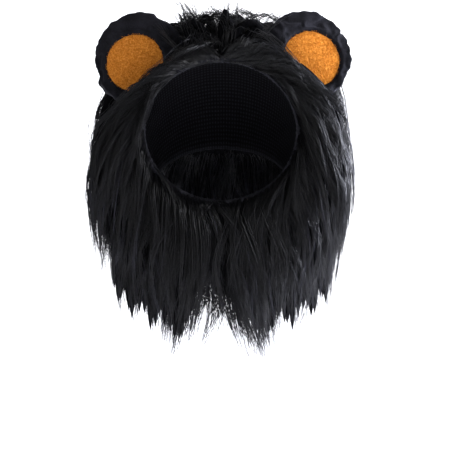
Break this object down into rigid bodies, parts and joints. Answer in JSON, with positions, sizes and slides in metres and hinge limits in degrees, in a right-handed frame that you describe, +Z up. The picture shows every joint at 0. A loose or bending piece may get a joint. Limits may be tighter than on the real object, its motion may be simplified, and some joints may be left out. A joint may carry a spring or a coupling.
{
  "type": "pet lion mane wig",
  "caption": "Soft hood with a face opening and a neck opening for a small pet, covered with long pile, with stuffed ears, felt ear fronts and a closing tape at the throat.",
  "frame": {"origin": "inside of the hood's crown, where the wearer's head carries it", "axes": "+Z up, the face opening looks along -Y, +X to the right as seen from the front"},
  "size_m": [0.1837, 0.1412, 0.254],
  "materials": {
    "knit_backing": "black knit backing cloth",
    "plush": "black short plush",
    "hook_tape": "black hook and loop tape",
    "pile": "long black synthetic pile with a slight sheen",
    "felt": "orange fleece felt"
  },
  "bodies": {
    "root": {"hood": "knit_backing", "face_hem": "plush", "throat_tape": "hook_tape", "mane": "pile", "ear_left": "plush", "ear_left_felt": "felt", "ear_right": "plush", "ear_right_felt": "felt"}
  },
  "joints": []
}
